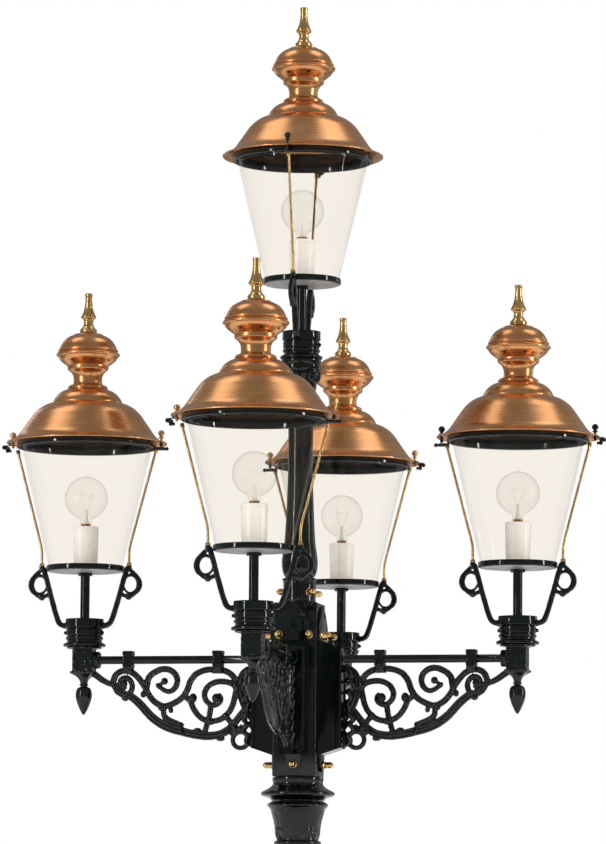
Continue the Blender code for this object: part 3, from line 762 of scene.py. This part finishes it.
def scroll_parts():
    """The scrollwork's mouldings, from the bar's axis down, in a bracket's own frame."""
    upper = [(5215, -760), (5277, -627), (5220, -440), (5120, -345), (4983, -300), (4840, -312), (4706, -370),
             (4590, -465), (4480, -590), (4361, -770), (4258, -965), (4084, -1168), (3842, -1287),
             (3603, -1236), (3360, -1100), (3187, -897), (3084, -626), (2990, -480), (2876, -375),
             (2600, -280), (2255, -278), (2012, -345), (1838, -491), (1753, -694), (1735, -860)]
    rib = [(5215, -760), (5160, -850), (5060, -925), (4914, -965), (4780, -1010), (4638, -1110),
           (4432, -1304), (4190, -1565), (3914, -1770), (3637, -1900), (3292, -1995), (2944, -2075),
           (2600, -2117), (2255, -2083), (2012, -1965), (1838, -1795), (1667, -1580), (1500, -1380),
           (1290, -1200)]
    ring = [(1740, -700), (1780, -897), (1845, -1202), (1930, -1400), (2055, -1555), (2240, -1672),
            (2430, -1705), (2620, -1685), (2800, -1580), (2930, -1430), (3020, -1260), (3040, -1130)]
    stem = [(5870, -370), (5780, -415), (5650, -510), (5510, -600), (5350, -665), (5190, -715)]
    leaf = [(1245, -260), (1400, -290), (1540, -400), (1620, -600), (1620, -860), (1560, -1130),
            (1450, -1400), (1300, -1640)]
    big = [(1760, -760), (1853, -690), (2012, -627), (2180, -605), (2358, -626), (2531, -712), (2640, -850),
           (2665, -1000), (2617, -1135), (2480, -1250), (2330, -1250), (2220, -1160), (2215, -1040),
           (2290, -975)]
    middle = [(4330, -800), (4310, -700), (4275, -525), (4190, -410), (4084, -340), (3950, -275),
              (3809, -254), (3680, -275), (3567, -340), (3480, -440), (3447, -560), (3460, -670),
              (3498, -763), (3585, -850), (3688, -881), (3800, -850), (3912, -779), (4010, -720)]
    hook = [(4050, -700), (3960, -690), (3880, -650), (3820, -590)]
    small = [(4830, -970), (4765, -870), (4730, -740), (4775, -590), (4880, -500), (5000, -510), (5075, -600),
             (5069, -720), (4990, -775), (4940, -720)]
    sheath = [(3815, -1250), (3830, -1440), (3790, -1580), (3650, -1690), (3450, -1780), (3280, -1870)]
    # Each stroke's points, half width and half depth.
    strokes = [
        (upper, 0.0088, 0.0084),
        (rib, lambda t: 0.0088 + 0.0034 * math.sin(math.pi * t), 0.0096),
        (ring, 0.0082, 0.0082),
        (stem, lambda t: 0.0098 - 0.0024 * t, 0.0085),
        (leaf, lambda t: 0.0100 + 0.0035 * math.sin(math.pi * t), 0.0112),
        (big, lambda t: 0.0086 - 0.0012 * t, 0.0078),
        (middle, lambda t: 0.0090 - 0.0030 * t**3, 0.0080),
        (hook, 0.0050, 0.0070),
        (small, 0.0078, 0.0076),
        (sheath, lambda t: 0.0070 + 0.0030 * t, 0.0092),
        ([(2480, -1260), (2513, -1507), (2580, -1780), (2670, -2050)], 0.0080, 0.0074),
        ([(2046, -1580), (1950, -1700), (1860, -1830)], 0.0080, 0.0074),
        ([(1450, -2250), (1240, -2290)], 0.0066, 0.0070),
        ([(3015, -1150), (3110, -1110), (3215, -1010)], 0.0082, 0.0082),
        ([(1960, -1980), (1860, -2050), (1720, -1990), (1580, -1830)], 0.0070, 0.0084),
    ]
    loop_radius = 222
    loop = [(1630 + loop_radius * math.cos(turn), loop_radius * math.sin(turn) - 2230)
            for turn in (*turns(24), math.tau)]
    parts = [swept(flat_path(points), wide, deep, MOULDED) for points, wide, deep in strokes]
    return [*parts, swept(flat_path(loop, 2), 0.0066, 0.0072, MOULDED)]


def scroll_beads():
    """The balls at the scrolls' ends, and the collars and buds along the mouldings."""
    beads = [orb((reach / TENTHS, 0.0, z / TENTHS), radius / TENTHS, stretch) for reach, z, radius, *stretch in (
        (2324, -1067, 132, 1.0, 1.0, 1.0), (3809, -593, 100, 1.0, 1.0, 1.0), (4966, -670, 98, 1.0, 1.0, 1.0),
        (2990, -1060, 110, 1.0, 1.0, 1.2), (3050, -1190, 85, 1.0, 1.0, 1.0), (4413, -955, 82, 1.0, 1.0, 1.2),
        (4930, -1060, 92, 1.1, 1.0, 1.0), (3620, -1400, 80, 0.9, 0.9, 1.1), (3900, -1340, 85, 1.0, 1.0, 1.0),
        (2860, -1960, 90, 1.3, 0.9, 0.8), (2203, -2195, 90, 1.4, 0.9, 0.8), (2480, -1720, 105, 1.3, 1.0, 0.9),
        (1790, -720, 110, 1.0, 1.0, 1.2), (1800, -1900, 110, 1.0, 1.0, 1.1),
        (2060, -1560, 100, 1.0, 1.0, 1.0), (1300, -1450, 150, 0.9, 1.0, 1.3),
        (1300, -1800, 120, 0.8, 1.1, 1.3), (1290, -2080, 100, 0.8, 1.1, 1.3))]
    for reach, z, lean, tall in ((0.3300, -0.1920, 14, 0.0190), (0.2010, -0.1990, -30, 0.0135)):
        turn = Matrix.Translation((reach, 0.0, z)) @ Matrix.Rotation(math.radians(lean), 4, "Y")
        beads.append(moved(slab(0.0, 0.0050, 0.0118, -tall, tall, 0.0020), turn))
    return beads


def leaf_folds():
    """The cast leaves that climb the root of a bracket."""
    folds = []
    for i in range(7):
        start = 0.036 + 0.030 * i
        swing = 0.013 + 0.004 * math.sin(1.7 * i)
        for side in (-1, 1):
            path = [(0.1255, side * 0.008, -start), (0.1290 + swing, side * 0.016, 0.004 - start),
                    (0.1290 + swing * 1.6, side * 0.012, -start - 0.014), (0.1265, side * 0.009, -start - 0.026)]
            folds.append(swept(
                smooth(path), lambda t: 0.0030 + 0.0034 * math.sin(math.pi * t), 0.0040, normal=(0.2, 1.0, 0.1)))
    return folds


def housing_mesh():
    """The bracket's channel-shaped root, with moulded corners, a roof and a foot that slope."""
    inner, face, half = CASING_HALF + 0.0004, HOUSING_FACE - 0.0010, 0.0380
    section = [(inner, half), (face - 0.016, half), (face - 0.014, half - 0.003), (face - 0.010, half - 0.003),
               (face - 0.008, half), (face - 0.003, half), (face, half - 0.003), (face, half - 0.010),
               (face - 0.003, half - 0.013)]
    section += [(reach, -across) for reach, across in reversed(section)]
    root = skinned([
        [(reach, across, at_casing + (at_face - at_casing) * (reach - inner) / (face - inner))
         for reach, across in section] for at_casing, at_face in ((0.052, 0.028), (-0.268, -0.246))])
    front = HOUSING_FACE - face
    boss = lathed([
        *smooth([(0.0, front), (0.0200, front), (0.0230, front - 0.002)]),
        *smooth([(0.0240, 0.0), (0.0, -0.002)])], 48)
    return mesh_from("housing", root, moved(boss, turned_to((1, 0, 0), (face - 0.001, 0, 0))))


def back_plate_mesh():
    """The plate that bolts the root to the casing: pointed at the top, and with a narrow foot."""
    inner, thick, half = CASING_HALF + 0.0002, 0.0085, CASING_HALF - 0.0025
    shape = [(-half, 0.050), (-half, 0.090), (-0.030, 0.126), (0.0, 0.146), (0.030, 0.126), (half, 0.090),
             (half, 0.050), (0.030, 0.046), (0.030, -0.250), (0.018, -0.300), (0.0, -0.312), (-0.018, -0.300),
             (-0.030, -0.250), (-0.030, 0.046)]
    plate = skinned([[(reach, across, z) for across, z in shape] for reach in (inner, inner + thick)])
    return mesh_from("back_plate", bevelled(plate, 0.0014))


def strap_mesh(reach):
    """A strap round the bar that spreads where it meets the scroll."""
    return cast(
        "strap",
        slab(reach, 0.0138, 0.0155, -0.0240, 0.0230, 0.0030),
        slab(reach, 0.0152, 0.0158, 0.0130, 0.0250, 0.0025),
        slab(reach, 0.0152, 0.0158, -0.0170, -0.0120, 0.0020),
        swept([(reach, 0.0, -0.0180), (reach, 0.0, -0.0300), (reach, 0.0, -0.0385)],
              lambda t: 0.0136 + 0.0044 * t, lambda t: 0.0150 - 0.0040 * t, FLAT),
        lumps=0.0007, pitch=150.0)


def bar_mesh():
    return mesh_from("bar", moved(pipe(BAR_RADIUS, BAR_START, BAR_END, 0.0008, 40), turned_to((1, 0, 0))))


def socket_mesh():
    """The rough square block with its mouldings, its boss and the lantern's tenon."""
    top = SEAT - BAR
    head = turning(
        64, [(0, 490), (360, 490), (374, 475)], [(374, 2), (460, -2), (475, -20), (460, -60), (0, -80)],
        steps=2, base=top)
    boss = turning(
        48, [(0, 172), (205, 172), (228, 160), (236, 135)], [(236, 30), (245, -20), (0, -20)], steps=3)
    return cast(
        "socket",
        slab(REACH, BLOCK_HALF, BLOCK_HALF, -0.0330, top - 0.0050, 0.0030),
        slab(REACH, 0.0335, 0.0335, -0.0372, -0.0320, 0.0018),
        moved(head, Matrix.Translation((REACH, 0, 0))),
        moved(boss, turned_to((-1, 0, 0), (REACH - BLOCK_HALF, 0, 0))),
        lumps=0.0010, pitch=150.0)


def drop_mesh():
    """The pyramid and acorn under a socket."""
    rings = []
    for z, half, roundness in ((-0.0374, 0.0320, 0.05), (-0.0385, 0.0310, 0.05), (-0.0430, 0.0240, 0.2),
                               (-0.0480, 0.0185, 0.5), (-0.0540, 0.0138, 0.8), (-0.0600, 0.0108, 1.0),
                               (-0.0640, 0.0100, 1.0)):
        rings.append([])
        for across, deep in ((math.cos(turn), math.sin(turn)) for turn in turns(48)):
            reach = half * (roundness + (1 - roundness) / max(abs(across), abs(deep)))
            rings[-1].append((REACH + across * reach, deep * reach, z))
    acorn = turning(
        48, [(0, -620), (102, -625), (95, -660)], [(120, -672), (128, -690), (120, -708)],
        [(95, -718), (95, -735), (130, -755)],
        [(180, -780), (215, -860), (228, -960), (215, -1080), (175, -1220), (120, -1350), (70, -1450),
         (35, -1505), (0, -1528)], steps=4)
    return mesh_from("drop", skinned(rings), moved(acorn, Matrix.Translation((REACH, 0, 0))), sharp=50)


def build_brackets():
    scrollwork = cast("scrollwork", *scroll_parts(), *scroll_beads(), *leaf_folds(), pitch=110.0)
    pieces = [(name, mesh, material, "painted_iron", None, node) for name, mesh, material, node in (
        ("scrollwork", scrollwork, CAST_IRON, "bracket"),
        ("bracket_root", housing_mesh(), SMOOTH_IRON, None),
        ("back_plate", back_plate_mesh(), SMOOTH_IRON, None),
        ("strap_outer", strap_mesh(0.4845), CAST_IRON, None),
        ("strap_inner", strap_mesh(0.2285), CAST_IRON, None),
        ("bar_pipe", bar_mesh(), SMOOTH_IRON, "bar"),
        ("socket_block", socket_mesh(), CAST_IRON, "socket"),
        ("acorn_drop", drop_mesh(), SMOOTH_IRON, "drop_finial"),
    )]
    for side in SIDES:
        low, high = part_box(f"bar_{side}")
        yaw = math.atan2(low[1] + high[1], low[0] + high[0])
        place_all(side, Matrix.Translation((0.0, 0.0, BAR)) @ Matrix.Rotation(yaw, 4, "Z"), pieces)


# ------------------------ post

def leafy(profile, segments, tiers, veins=1.0):
    """A turned casting with tiers of raised leaves.

    Each tier is (foot height, tip height, leaves, first angle in degrees, relief), and veins
    is how deep the leaves are ribbed.
    """
    working = lathed(profile, segments)
    working.normal_update()
    lifts = []
    for vertex in working.verts:
        radius = math.hypot(vertex.co.x, vertex.co.y)
        outwards = vertex.normal.x * vertex.co.x + vertex.normal.y * vertex.co.y
        if outwards < 0.2 * radius or radius < 0.01:
            continue
        turn = math.atan2(vertex.co.y, vertex.co.x)
        lift = 0.0
        for foot, tip, count, first, relief in tiers:
            t = (vertex.co.z - foot) / (tip - foot)
            if not 0.0 <= t <= 1.0:
                continue
            pitch = math.tau / count
            offset = (turn - math.radians(first) + pitch / 2) % pitch - pitch / 2
            lobes = 1.0 - 0.18 * veins * (1.0 - math.cos(math.tau * (4.0 * t + 0.6 * abs(offset) / pitch)))
            half = pitch * 0.56 * math.sin(math.pi * min(1.0, 0.22 + 0.78 * (1 - t))) * lobes
            share = abs(offset) / max(half, 1e-4)
            if share >= 1.0:
                continue
            crown = (1.0 - share**2) ** 0.6
            vein = 0.35 * math.exp(-(share / 0.10) ** 2)
            vein += 0.18 * veins * math.cos(math.tau * (5.0 * t + 1.6 * share))
            fade = min(1.0, 6.0 * t, 5.0 * (1.0 - t) + 0.35)
            lift = max(lift, relief * fade * (crown * (0.75 + vein)))
        lifts.append((vertex, vertex.normal.copy(), lift))
    for vertex, normal, lift in lifts:
        vertex.co += normal * lift
    return working


def pole_mesh():
    """The leafy pole, from its collar on the casing to the tenon of the top lantern."""
    foot, seat = CASING_HIGH + 0.0004, POLE_SEAT
    profile = outline(
        [(240, 490), (360, 490), (374, 475), (374, 3)], [(520, -2), (548, -20), (555, -80), (540, -130)],
        [(530, -150), (560, -185), (566, -270), (545, -335)],
        [(500, -370), (525, -400), (520, -460), (470, -560), (440, -700), (400, -950), (368, -1250),
         (350, -1700)], steps=4, base=seat)
    profile += smooth([(0.0350, seat - 0.1700), *scaled(
        [(345, 12500), (350, 11800), (370, 11200), (395, 10600), (430, 10000), (480, 9650), (500, 9450),
         (490, 9250), (440, 9080), (395, 9020)])], 22)
    profile += outline([(400, 8995), (470, 8975), (478, 8935), (470, 8900)], steps=4)
    profile += smooth([(0.0452, 0.8890), (0.0452, foot + 0.0060)], 4)
    profile += outline([(470, 50), (475, 0), (240, 0)], steps=4, base=foot)
    tiers = [
        (0.912, 0.990, 6, 0, 0.0052), (0.935, 1.060, 6, 30, 0.0048), (1.020, 1.130, 6, 0, 0.0038),
        (1.090, 1.200, 6, 30, 0.0032), (1.160, 1.270, 6, 0, 0.0030), (1.230, 1.330, 6, 30, 0.0028),
        (1.300, 1.420, 6, 0, 0.0034), (1.470, 1.390, 6, 30, 0.0044),
    ]
    return mesh_from("pole", leafy(profile, 168, tiers), sharp=60)


def boss_mesh():
    """The round boss on the pole's side, with its button."""
    boss = turning(
        48, [(0, 690), (60, 682), (85, 655)], [(90, 640), (150, 640), (205, 610), (225, 560), (220, 500)],
        [(170, 420), (150, 350), (0, 350)], steps=4)
    towards = math.radians(-38)
    return mesh_from("boss", moved(boss, turned_to(
        (math.cos(towards), math.sin(towards), 0.0), (0.0, 0.0, POLE_SEAT - 0.051))))


def casing_mesh():
    """The square casing, with rounded corners and a bore for the column's tube."""
    half, wall = CASING_HALF, 0.0165
    outer = block((-half, -half, CASING_LOW), (half, half, CASING_HIGH), 0.0035, 4)
    bore = swept([(0, 0, CASING_LOW - 0.01), (0, 0, CASING_HIGH + 0.01)], half - wall, half - wall)
    return cut(mesh_from("casing", outer), bore)


def cap_nut_mesh():
    """A brass cap nut on its washer, at the origin and facing +X."""
    washer = turning(32, [(0, 50), (98, 50), (112, 38), (112, 0), (0, 0)], steps=1)
    nut = turning(6, [(0, 175), (90, 175), (98, 165), (98, 50), (0, 50)], steps=1)
    dome = turning(32, [(0, 300), (42, 288), (78, 245), (88, 195)], [(88, 170), (0, 170)])
    return mesh_from("cap_nut", *(moved(part, turned_to((1, 0, 0))) for part in (washer, nut, dome)))


def capital_mesh():
    """The spread ring that the casing stands on."""
    rim = outline(
        [(449, 0), (690, 0), (704, -15)], [(704, -100), (690, -160), (700, -200)],
        base=height("capital_ring", 1))
    spread = outline(
        [(720, 3240), (800, 3175), (900, 3120), (985, 3075), (1018, 3035), (1015, 2990), (970, 2955),
         (880, 2925), (800, 2895), (740, 2850)], [(730, 2822), (449, 2850)])
    return mesh_from("capital", lathed(rim + spread, 96))


def column_mesh():
    """The bolt flange, the shaft and the leafy bell, with the tube that the casing hides."""
    tube, bore, top = 0.0445, 0.0350, height("column", 1)
    profile = [(bore, top), (tube, top), (tube, 0.2842)]
    profile += outline(
        [(725, 2806), (790, 2770), (838, 2722), (846, 2700)],
        [(835, 2680), (780, 2620), (720, 2530), (672, 2420), (635, 2290)], steps=8)
    profile += outline([(635, 2290), (608, 2150), (592, 2000), (582, 1850), (578, 1740)], steps=10)
    profile += outline(
        [(600, 1725), (640, 1700), (652, 1665), (640, 1628), (600, 1605)],
        [(570, 1595), (562, 1500), (560, 900), (568, 620)], [(600, 600), (640, 575), (650, 545), (635, 515)],
        [(610, 500), (640, 400), (700, 310), (790, 255)], [(820, 240), (1360, 225), (1390, 205), (1400, 175)],
        [(1400, 15), (1385, 0), (350, 0)], steps=4)
    tiers = [(0.176, 0.256, 4, 0, 0.0042), (0.176, 0.214, 8, 22.5, 0.0030)]
    body = mesh_from("column", leafy(profile, 176, tiers, 0.2), sharp=60)
    bolt = 0.0778  # a bolt hole's place, along each axis
    holes = [swept([(x, y, -0.01), (x, y, 0.04)], 0.009, 0.009) for x in (-bolt, bolt) for y in (-bolt, bolt)]
    return cut(body, *holes)


def build_post():
    for name, mesh, material, *nodes in (
            ("bell_column", column_mesh(), CAST_IRON, "column"),
            ("capital", capital_mesh(), CAST_IRON, "capital_ring"),
            ("square_casing", casing_mesh(), SMOOTH_IRON, "casing"),
            ("leafy_pole", pole_mesh(), CAST_IRON, "top_pole"),
            ("pole_boss", boss_mesh(), CAST_IRON)):
        place(name, mesh, material, Matrix.Identity(4), "root", "painted_iron", *nodes)
    nut, plate = cap_nut_mesh(), 0.0085
    for i, yaw in enumerate((0, 90, 180, 270)):
        for j, (across, z) in enumerate(((0.0425, 0.738), (-0.0425, 0.738), (0.0, 0.381))):
            seat = about_z(yaw) @ Matrix.Translation((CASING_HALF + plate, across, z))
            place(f"cap_nut_{i}_{j}", nut, BRASS, seat, "root", "brass")
        collar = about_z(yaw + 45) @ Matrix.Translation((0.0450, 0.0, 0.858))
        place(f"collar_screw_{i}", nut, BRASS, collar, "root", "brass")


# ------------------------ stage

def build_camera():
    """The photograph's view: slightly from below, a little to the right of the front."""
    distance, eye_height = 13.44, -0.169
    azimuth, pitch, roll = math.radians(11.44), math.radians(6.386), math.radians(0.45)
    data = bpy.data.cameras.new("camera")
    data.sensor_width = 36.0
    data.lens = 207.19
    data.clip_end = 100.0
    camera = linked("camera", data)
    turn = (Matrix.Rotation(azimuth, 4, "Z") @ Matrix.Rotation(math.radians(90) + pitch, 4, "X")
            @ Matrix.Rotation(roll, 4, "Z"))
    eye = (distance * math.sin(azimuth), -distance * math.cos(azimuth), eye_height)
    camera.matrix_world = Matrix.Translation(eye) @ about_z(-0.026) @ turn
    bpy.context.scene.camera = camera


def softbox(name, azimuth, elevation, distance, width, tall, power):
    """An area lamp that faces the lanterns and that the camera doesn't see."""
    data = bpy.data.lights.new(name, "AREA")
    data.shape = "RECTANGLE"
    data.size = width
    data.size_y = tall
    data.energy = power
    lamp = linked(name, data)
    azimuth, elevation = math.radians(azimuth), math.radians(elevation)
    away = Vector((math.sin(azimuth) * math.cos(elevation), -math.cos(azimuth) * math.cos(elevation),
                   math.sin(elevation)))
    lamp.matrix_world = turned_to(away, Vector((0.0, 0.0, 1.35)) + away * distance)
    lamp.visible_camera = False


def build_world():
    """White behind the object and bright on matt surfaces, and a dimmer room for it to mirror."""
    world = bpy.data.worlds.new("studio")
    bpy.context.scene.world = world
    world.use_nodes = True
    world.cycles.sampling_method = "NONE"
    world.node_tree.nodes.clear()
    add, feed = wiring(world.node_tree)
    white = add("ShaderNodeBackground", {"Color": (1.0, 1.0, 1.0, 1.0), "Strength": 1.0})
    room = add("ShaderNodeBackground", {"Color": (0.95, 0.97, 1.0, 1.0), "Strength": 0.27})
    mirrored = add("ShaderNodeLightPath", out="Is Glossy Ray")
    output = world.node_tree.nodes.new("ShaderNodeOutputWorld")
    feed(output, {"Surface": add("ShaderNodeMixShader", {0: mirrored, 1: white, 2: room})})


def build_floor():
    """A pale round floor, just under the flange."""
    made, shader, add, feed = new_material("pale_floor")
    cloud = clouds(add, object_spot(add), 3.0, 4.0)
    feed(shader, {
        "Base Color": ramp(add, cloud, [(0.3, (0.80, 0.80, 0.79)), (0.7, (0.84, 0.84, 0.83))]), "Roughness": 0.7})
    mesh = mesh_from("floor", lathed([(0.0, -0.0005), (3.2, -0.0005), (3.2, -0.02), (0.0, -0.02)], 128))
    mesh.materials.append(made)
    linked("floor", mesh)


build_lanterns()
build_brackets()
build_post()
build_camera()
build_world()
build_floor()
# Each lamp's name, azimuth, elevation, distance, width, height and power.
for lamp in (
        ("key_left", -90, 62, 16.0, 6.8, 6.8, 205), ("key_right", 112, 62, 16.0, 6.8, 6.8, 215),
        ("strip_left", -42, 8, 12.0, 0.55, 9.0, 360), ("strip_right", 90, 8, 12.0, 0.55, 9.0, 400),
        ("rim_left", -140, 8, 8.0, 0.8, 5.5, 22), ("rim_right", 140, 8, 8.0, 0.8, 5.5, 22)):
    softbox(*lamp)
bpy.context.scene.view_settings.view_transform = "Standard"
